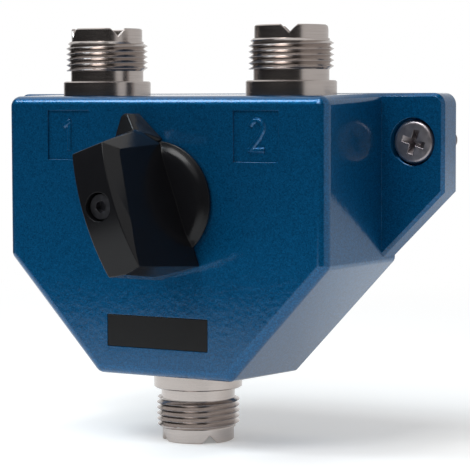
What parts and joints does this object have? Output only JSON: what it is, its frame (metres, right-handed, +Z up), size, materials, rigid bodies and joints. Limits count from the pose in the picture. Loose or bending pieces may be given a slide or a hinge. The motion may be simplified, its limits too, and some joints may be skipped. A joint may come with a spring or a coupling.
{
  "type": "coaxial antenna switch",
  "caption": "Two-way coaxial antenna switch: a tapered die-cast box with mounting ears, threaded coaxial ports above and below, and a pointer knob that turns a wiper between the upper ports.",
  "frame": {"origin": "middle of the flat back face, at half the height of the front face", "axes": "+X to the right seen from the front, +Y out of the back face towards the wall it is fixed to, +Z up"},
  "size_m": [0.0952, 0.0593, 0.0788],
  "materials": {
    "paint": "metallic blue paint on zinc die casting",
    "steel": "zinc-plated steel",
    "dark_steel": "black oxide",
    "label": "semi-gloss black",
    "nickel": "brass, bright nickel plate",
    "ptfe": "fluoropolymer, matt",
    "silvered": "brass, silver plate",
    "brass": "turned",
    "bronze": "spring bronze",
    "black": "gloss moulded"
  },
  "bodies": {
    "box": {"housing": "paint", "rear_cover": "paint", "cover_screws": "steel", "mounting_screws": "steel", "label_plate": "label", "port_1_shell": "nickel", "port_2_shell": "nickel", "common_shell": "nickel", "port_1_insulator": "ptfe", "port_2_insulator": "ptfe", "common_insulator": "ptfe", "port_1_contact": "silvered", "port_2_contact": "silvered", "common_contact": "silvered", "port_1_nut": "nickel", "port_2_nut": "nickel", "common_nut": "nickel", "port_1_strip": "silvered", "port_2_strip": "silvered", "common_strip": "silvered", "shaft_bush": "brass", "stop_pins": "steel", "detent_spring": "bronze", "detent_screws": "steel"},
    "selector": {"knob": "black", "knob_screw": "dark_steel", "shaft": "steel", "front_clip": "dark_steel", "rear_clip": "dark_steel", "detent_wheel": "brass", "ground_blade": "silvered", "rotor": "ptfe", "signal_blade": "silvered", "blade_rivets": "brass"}
  },
  "joints": [
    {"name": "selector_turn", "type": "hinge", "parent": "box", "child": "selector", "pos_m": [0, -0.02, 0.0067], "axis": [0, 1, 0], "range_deg": [0, 38.6], "deforming": ["detent_spring"]}
  ]
}
